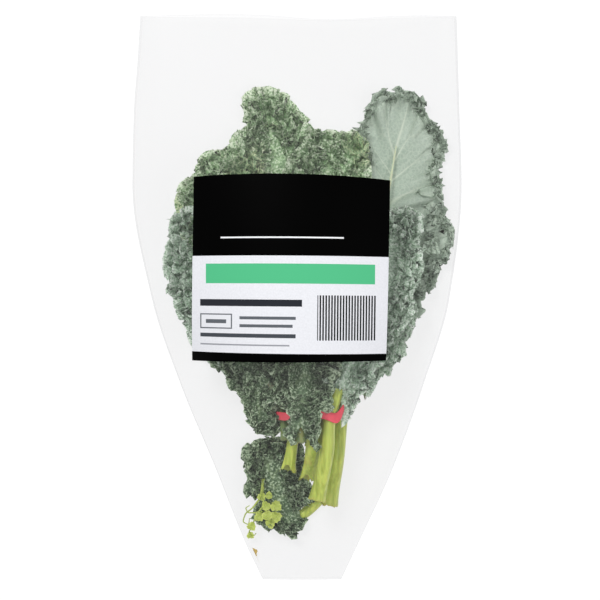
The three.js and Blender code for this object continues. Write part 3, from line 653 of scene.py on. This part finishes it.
def stalk_material(name, dark, light, inside, rib):
    """Streaked along the stalk, brown where cut (the cut's own colour, strongest in the hollow middle as
    painted shade), and as pale as a vein towards the leaf's tip.
    """
    n = Nodes(name)
    place = n.add("TexCoord").outputs["Object"]
    stretched = n.add("Mapping", {"Vector": place, "Scale": (1, 0.1, 1)}).outputs[0]
    streaks = n.add("TexNoise", {"Vector": stretched, "Scale": 360.0, "Detail": 4.0}).outputs[0]
    broad = n.add("TexNoise", {"Vector": stretched, "Scale": 110.0, "Detail": 2.0}).outputs[0]
    body = n.ramp(streaks, (0.3, dark), (0.62, light))
    body = n.blend(n.spread(broad, 0.56, 0.7, 0.0, 0.55), body, srgb(196, 184, 82))
    body = n.blend(n.spread(n.attribute("along"), 0.4, 0.66), body, rib)
    # The cut colour, strongest in the hollow middle of the end, is partly painted shade.
    body = n.blend(n.attribute("cut"), body, inside)
    shader = n.add("BsdfPrincipled", {"Base Color": body, "Roughness": 0.38,
                                      "Normal": n.bump(streaks, 0.3, 0.0004),
                                      "Subsurface Weight": 0.12, "Subsurface Scale": 0.004})
    return n.finish(shader.outputs[0])


MATERIALS = {
    "leaf": leaf_material("kale_leaf", srgb(88, 122, 80), srgb(180, 216, 164), srgb(192, 222, 172),
                          srgb(244, 254, 230), yellow=0.35),
    # A darker copy of the leaf colours for the leaves lying low and under others: painted shade.
    "leaf_in_shade": leaf_material("kale_leaf_painted_shade", srgb(57, 82, 53), srgb(116, 144, 108), srgb(142, 165, 124),
                          srgb(210, 227, 196)),
    # A paler, greyer copy of the leaf colours for the leaves at the sides: painted light, the film's haze
    # over them.
    "side": leaf_material("kale_side_painted_haze", srgb(134, 164, 135), srgb(218, 242, 218), srgb(212, 234, 210),
                          srgb(246, 254, 244)),
    "back": leaf_material("kale_back", srgb(164, 183, 165), srgb(181, 196, 181), srgb(212, 222, 204),
                          srgb(204, 218, 200), 0.2),
    "stalk": stalk_material("kale_stalk", srgb(150, 167, 56), srgb(200, 214, 96), srgb(176, 176, 90),
                            srgb(206, 216, 182)),
    # A dull dark green copy of the stalk colours for the short stalk ends among the leaves: painted shade.
    "stalk_in_shade": stalk_material("kale_stalk_painted_shade", srgb(84, 106, 58), srgb(120, 140, 84), srgb(104, 112, 72),
                            srgb(206, 216, 182)),
    "shoot": leaf_material("kale_shoot", srgb(158, 178, 66), srgb(204, 220, 104), srgb(216, 226, 140),
                           srgb(222, 232, 130), 0.3),
}
# Leaves drawn in the paler copy, as painted film haze.
SIDE_LEAVES = ("leaf_03", "leaf_08", "leaf_10")
# Stalks drawn in the darker stalk copy, as painted shade.
SHADED_STALKS = ("leaf_01", "leaf_02", "leaf_03", "leaf_07", "leaf_11", "leaf_12")
# Leaves drawn in the darker leaf copy, as painted shade.
SHADED_LEAVES = ("leaf_06", "leaf_11", "leaf_12", "low_leaf")

for number, (name, leaf) in enumerate(LEAVES.items()):
    kind = "shoot" if name == "shoot" else "back" if leaf.get("back") else "leaf"
    tone = "side" if name in SIDE_LEAVES else "leaf_in_shade" if name in SHADED_LEAVES else kind
    if kind == "shoot":
        blade = make_shoot(MATERIALS["shoot"])
        stalk_tone = "shoot"
    else:
        blade = make_blade(name, leaf, MATERIALS[tone], BLADE_SEED + number)
        stalk_tone = "stalk_in_shade" if name in SHADED_STALKS else "stalk"
    stalk = make_stalk(name, leaf, MATERIALS[stalk_tone], STALK_SEED + number)


def plain_material(name, colour, roughness, bump_scale, bump_depth):
    """One colour with a darker grain in it."""
    n = Nodes(name)
    grain = n.noise(bump_scale, 4)
    body = n.ramp(grain, (0.3, tuple(c * 0.82 for c in colour)), (0.7, colour))
    shader = n.add("BsdfPrincipled", {"Base Color": body, "Roughness": roughness,
                                      "Normal": n.bump(grain, 0.4, bump_depth)})
    return n.finish(shader.outputs[0])


BAND_CENTRE = (12.5, -78)
BAND_TURN = math.radians(10)
BAND_HALF_WIDTH = 3.3
BAND_HALF_THICKNESS = 0.6


def make_band(material):
    """A flat strip following the CAD band's outer outline, slightly wavy and narrower in places."""
    raw = np.array([v.co[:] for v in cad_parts["tie_band"].data.vertices]) / MM
    away = raw[:, :2] - BAND_CENTRE
    along = away[:, 0] * math.cos(BAND_TURN) + away[:, 1] * math.sin(BAND_TURN)
    centre = ((along.min() + along.max()) / 2, (raw[:, 2].min() + raw[:, 2].max()) / 2)
    turn = np.arctan2(raw[:, 2] - centre[1], along - centre[0])
    far = np.hypot(raw[:, 2] - centre[1], along - centre[0])
    angles = np.linspace(-np.pi, np.pi, 361)
    outer = np.array([far[np.abs((turn - a + np.pi) % (2 * np.pi) - np.pi) < 0.11].max() for a in angles])
    outer = smoothed(np.concatenate([outer[-13:-1], outer, outer[1:13]]), 12, 0)[12:-12]
    outer[-1] = outer[0]
    half = BAND_HALF_WIDTH + 0.5 * np.sin(2 * angles) - 1.3 * np.exp(-((angles - 1.75) / 0.3) ** 2)
    half = half - 2.2 * np.exp(-((angles - 0.4) / 0.4) ** 2)
    shift = 0.5 * np.sin(3 * angles + 1) + 3 * np.exp(-((np.abs(angles) - np.pi) / 0.5) ** 2)
    shift = shift + 2.5 * np.exp(-(angles / 0.45) ** 2) - 5 * np.exp(-((angles - 0.95) / 0.3) ** 2)
    twist = 0.35 * np.sin(2 * angles + 2)
    section = np.linspace(0, 2 * np.pi, 25)
    w = np.sign(np.cos(section)) * np.abs(np.cos(section)) ** 0.5
    h = np.sign(np.sin(section)) * np.abs(np.sin(section)) ** 0.7 * BAND_HALF_THICKNESS
    across = shift[:, None] + half[:, None] * w[None, :]
    r = outer[:, None] - 0.65 + h[None, :] + twist[:, None] * w[None, :] * 0.8
    u = centre[0] + r * np.cos(angles)[:, None]
    z = centre[1] + r * np.sin(angles)[:, None]
    x = BAND_CENTRE[0] + u * math.cos(BAND_TURN) - across * math.sin(BAND_TURN)
    y = BAND_CENTRE[1] + u * math.sin(BAND_TURN) + across * math.cos(BAND_TURN)
    piece = mesh_from_grids("band_strip", [(np.dstack([x, y, np.maximum(z, 0.8)]), {})])
    piece.data.materials.append(material)
    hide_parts("tie_band")
    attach(piece, "root")


make_band(plain_material("coral_rubber", srgb(240, 74, 92), 0.42, 500, 0.0003))
SCRAP_CORNERS = [(-33.6, -174.8), (-27.8, -177.2), (-29.2, -186)]
SCRAP_LIFT = 1.9


def make_scrap(material):
    """A torn flake of dry leaf, curling a little at one corner."""
    a, b, c = (np.array(p) for p in SCRAP_CORNERS)
    steps = np.linspace(0, 1, 13)
    u = steps[:, None, None]
    v = steps[None, :, None]
    flat = a + (b - a) * v * (1 - u) + (c - a) * u
    wave = 0.35 * np.sin(7 * v[..., 0] + 3 * u[..., 0]) + 0.9 * (1 - u[..., 0]) * v[..., 0] ** 2
    ragged_x = 0.25 * np.sin(19 * u[..., 0]) + 0 * v[..., 0]
    ragged_y = 0.2 * np.sin(23 * v[..., 0]) + 0 * u[..., 0]
    flat = flat + np.dstack([ragged_x, ragged_y])
    piece = mesh_from_grids("scrap_flake", [(inside_sleeve(np.dstack([flat, SCRAP_LIFT + wave])), {})])
    piece.data.materials.append(material)
    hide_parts("leaf_scrap")
    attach(piece, "root")


make_scrap(plain_material("dry_leaf", srgb(206, 176, 92), 0.6, 600, 0.0003))

CREASES = 22
CREASE_RISE = 0.6
MOUTH_DIP = 4.0
MOUTH_DIP_X = 23
SEAM_FROM = 0.985


def film_material():
    """A clear sheet that takes a little light away and adds a little haze and gloss."""
    n = Nodes("clear_film")
    seam = n.attribute("seam")
    tint = n.blend(seam, (0.941, 0.941, 0.943), (0.87, 0.87, 0.875))
    clear = n.add("BsdfTransparent", {"Color": tint})
    haze = n.add("BsdfDiffuse", {"Color": (0.9, 0.9, 0.9, 1)})
    gloss = n.add("BsdfGlossy", {"Color": (1, 1, 1, 1), "Roughness": 0.34})
    hazy = n.add("MixShader", {"Fac": n.spread(seam, 0.0, 1.0, 0.03, 0.12)})
    n.tree.links.new(clear.outputs[0], hazy.inputs[1])
    n.tree.links.new(haze.outputs[0], hazy.inputs[2])
    shiny = n.add("MixShader", {"Fac": 0.003})
    n.tree.links.new(hazy.outputs[0], shiny.inputs[1])
    n.tree.links.new(gloss.outputs[0], shiny.inputs[2])
    return n.finish(shiny.outputs[0])


def make_film(material):
    """The creased front film and the back film, with the open end's edge dipping in its middle."""
    rng = np.random.default_rng(7)
    u = np.sin(np.linspace(-1, 1, 131) * np.pi / 2)[None, :]
    y = np.linspace(-SLEEVE_HALF_LENGTH, SLEEVE_HALF_LENGTH, 171)[:, None]
    left, right, _ = sleeve_edges(y)
    x = (left + right) / 2 + u * (right - left) / 2
    y = np.broadcast_to(y, x.shape).copy()
    dip = MOUTH_DIP * np.exp(-((x - MOUTH_DIP_X) / 40) ** 2) * ease((y - 150) / 47.5)
    front = film_top(x, y)
    edge = 1 - u ** 2
    creases = np.zeros_like(x)
    for _ in range(CREASES):
        turn = rng.uniform(-0.45, 0.45)
        place = rng.uniform(-110, 110)
        across = (x - place) * math.cos(turn) - (y - rng.uniform(-160, 160)) * math.sin(turn)
        length = ease(1.2 - np.abs(y - rng.uniform(-180, 180)) / rng.uniform(60, 120))
        creases += rng.uniform(-1.1, 1.1) * np.exp(-np.abs(across) / rng.uniform(1.8, 5)) * length
    front = np.minimum(front + creases * np.minimum(1, edge * 3), film_top(x, y) + CREASE_RISE)
    seam = np.broadcast_to(np.abs(u) > SEAM_FROM, x.shape).astype(float)
    mouth = np.exp(-((y - SLEEVE_HALF_LENGTH) / 1.2) ** 2) + np.exp(-((y + SLEEVE_HALF_LENGTH) / 1.2) ** 2)
    grids = [(np.dstack([x, y - dip, front]), {"seam": np.clip(seam + mouth, 0, 1)}),
             (np.dstack([x, y - dip * 0.6, film_floor(x, y)])[:, ::-1], {"seam": np.zeros((1, 1))})]
    piece = mesh_from_grids("film", grids)
    piece.data.materials.append(material)
    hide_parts("sleeve")
    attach(piece, "root")


make_film(film_material())


def make_label(material):
    """A sheet just above the front film."""
    u, v = np.meshgrid(np.linspace(-0.5, 0.5, 65) * LABEL_SIZE[0], np.linspace(-0.5, 0.5, 61) * LABEL_SIZE[1])
    right, up = u / LABEL_SIZE[0] + 0.5, v / LABEL_SIZE[1] + 0.5
    top, bottom = ([mix(a, b, right) for a, b in zip(*LABEL_CORNERS[edge])] for edge in ("top", "bottom"))
    x = LABEL_CENTRE[0] + u * math.cos(LABEL_TURN) - v * math.sin(LABEL_TURN) + mix(bottom[0], top[0], up)
    y = LABEL_CENTRE[1] + u * math.sin(LABEL_TURN) + v * math.cos(LABEL_TURN) + mix(bottom[1], top[1], up)
    y = y + LABEL_BOW * 4 * right * (1 - right) * up
    piece = mesh_from_grids("label_sheet", [(np.dstack([x, y, film_top(x, y) + LABEL_GAP]), {})])
    piece.data.materials.append(material)
    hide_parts("label")
    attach(piece, "root")


# The print, in millimetres from the label's middle: heights of the black band and strip, plain bars as
# (left and right, bottom and top, colour), and a block of even stripes
BLACK_BAND = 51.8
BLACK_STRIP = 4.1
GREY = srgb(96, 100, 106)
BARS = (
    ((-46, 35), (19.6, 20.6), srgb(236, 238, 240)),
    ((-56, 56), (-10, 3), srgb(84, 186, 134)),
    ((-60, 8), (-25, -20.5), srgb(44, 46, 52)),
    ((-60, -38), (-40, -30), GREY),
    ((-59.2, -38.8), (-39.2, -30.8), srgb(226, 227, 232)),
    ((-56, -42), (-36.4, -33.8), GREY),
    ((-33, 4), (-33.6, -31.6), GREY),
    ((-33, 2), (-38.8, -36.8), GREY),
    ((-60, 4), (-45.6, -43), srgb(70, 74, 80)),
    ((-60, 0), (-51, -50), srgb(150, 152, 158)))
STRIPE_PITCH = 0.95
STRIPE_EDGE = 0.42
STRIPES_ACROSS = (18, 57)
STRIPES_UP = (-47, -17.5)


def label_material():
    """White paper with a black band, a black strip, plain bars and stripes, placed by their coordinates."""
    n = Nodes("printed_label")
    place = n.add("TexCoord").outputs["Object"]
    laid = n.add("Mapping", {"Vector": place, "Location": (LABEL_CENTRE[0] * MM, LABEL_CENTRE[1] * MM, 0),
                             "Rotation": (0, 0, PRINT_TURN)}, vector_type="TEXTURE").outputs[0]
    xyz = n.add("SeparateXYZ", {"Vector": laid})

    def inside(axis, low, high):
        value = xyz.outputs[axis]
        above = n.add("Math", {0: value, 1: low}, operation="GREATER_THAN").outputs[0]
        below = n.add("Math", {0: value, 1: high}, operation="LESS_THAN").outputs[0]
        return n.add("Math", {0: above, 1: below}, operation="MULTIPLY").outputs[0]

    def patch(x_range, y_range):
        sides = {0: inside("X", *x_range), 1: inside("Y", *y_range)}
        return n.add("Math", sides, operation="MULTIPLY").outputs[0]

    half_y = LABEL_SIZE[1] / 2 * MM
    wide = (-1, 1)
    ink = n.noise(900, 2)
    body = n.ramp(ink, (0.3, srgb(222, 223, 228)), (0.7, srgb(230, 231, 236)))
    black = srgb(1, 1, 1)
    body = n.blend(patch(wide, (half_y - BLACK_BAND * MM, 1)), body, black)
    body = n.blend(patch(wide, (-1, -half_y + BLACK_STRIP * MM)), body, black)
    for x_range, y_range, colour in BARS:
        place_x, place_y = ([v * MM for v in span] for span in (x_range, y_range))
        body = n.blend(patch(place_x, place_y), body, colour)
    stripes = n.add("Math", {0: xyz.outputs["X"], 1: STRIPE_PITCH * MM}, operation="PINGPONG").outputs[0]
    stripes = n.add("Math", {0: stripes, 1: STRIPE_EDGE * MM}, operation="GREATER_THAN").outputs[0]
    block = patch([v * MM for v in STRIPES_ACROSS], [v * MM for v in STRIPES_UP])
    stripes = n.add("Math", {0: stripes, 1: block}, operation="MULTIPLY").outputs[0]
    body = n.blend(stripes, body, srgb(30, 32, 36))
    shader = n.add("BsdfPrincipled", {"Base Color": body, "Roughness": 0.5, "Specular IOR Level": 0.02,
                                      "Normal": n.bump(n.noise(60, 3), 0.25, 0.0006)})
    return n.finish(shader.outputs[0])


make_label(label_material())

# Floor, light and camera
FLOOR_HALF = 3
FLOOR_DROP = 0.0005
floor_mesh = bpy.data.meshes.new("floor")
floor_corners = [(a * FLOOR_HALF, b * FLOOR_HALF, 0) for a, b in ((-1, -1), (1, -1), (1, 1), (-1, 1))]
floor_mesh.from_pydata(floor_corners, [], [(0, 1, 2, 3)])
floor = bpy.data.objects.new("floor", floor_mesh)
floor.location.z = -FLOOR_DROP
bpy.context.scene.collection.objects.link(floor)
n = Nodes("white_floor")
glow = n.add("Emission", {"Color": (1, 1, 1, 1), "Strength": 0.88})
matte = n.add("BsdfDiffuse", {"Color": (0.16, 0.16, 0.16, 1)})
both = n.add("AddShader", {0: glow.outputs[0], 1: matte.outputs[0]})
floor_mesh.materials.append(n.finish(both.outputs[0]))

world = bpy.data.worlds.new("studio")
world.use_nodes = True
world.node_tree.nodes["Background"].inputs["Color"].default_value = (1, 1, 1, 1)
world.node_tree.nodes["Background"].inputs["Strength"].default_value = 0.55
bpy.context.scene.world = world


def add_light(name, place, size, power):
    light = bpy.data.lights.new(name, "AREA")
    light.shape = "DISK"
    light.size = size
    light.energy = power
    lamp = bpy.data.objects.new(name, light)
    lamp.location = place
    lamp.rotation_euler = (Vector((0, 0, 0)) - Vector(place)).to_track_quat("-Z", "Y").to_euler()
    bpy.context.scene.collection.objects.link(lamp)


add_light("key", (-0.5, 0.7, 1.2), 0.5, 11)
add_light("fill", (0.8, -0.3, 1.1), 0.9, 5)

CAMERA_HEIGHT = 0.9
SENSOR = 36.0
VIEW_WIDTH = 0.42
camera_data = bpy.data.cameras.new("camera")
camera_data.sensor_width = SENSOR
camera_data.lens = SENSOR * (CAMERA_HEIGHT - 0.005) / VIEW_WIDTH
camera = bpy.data.objects.new("camera", camera_data)
camera.location = (0.0021, -0.0017, CAMERA_HEIGHT)
bpy.context.scene.collection.objects.link(camera)
bpy.context.scene.camera = camera
bpy.context.scene.view_settings.view_transform = "Standard"
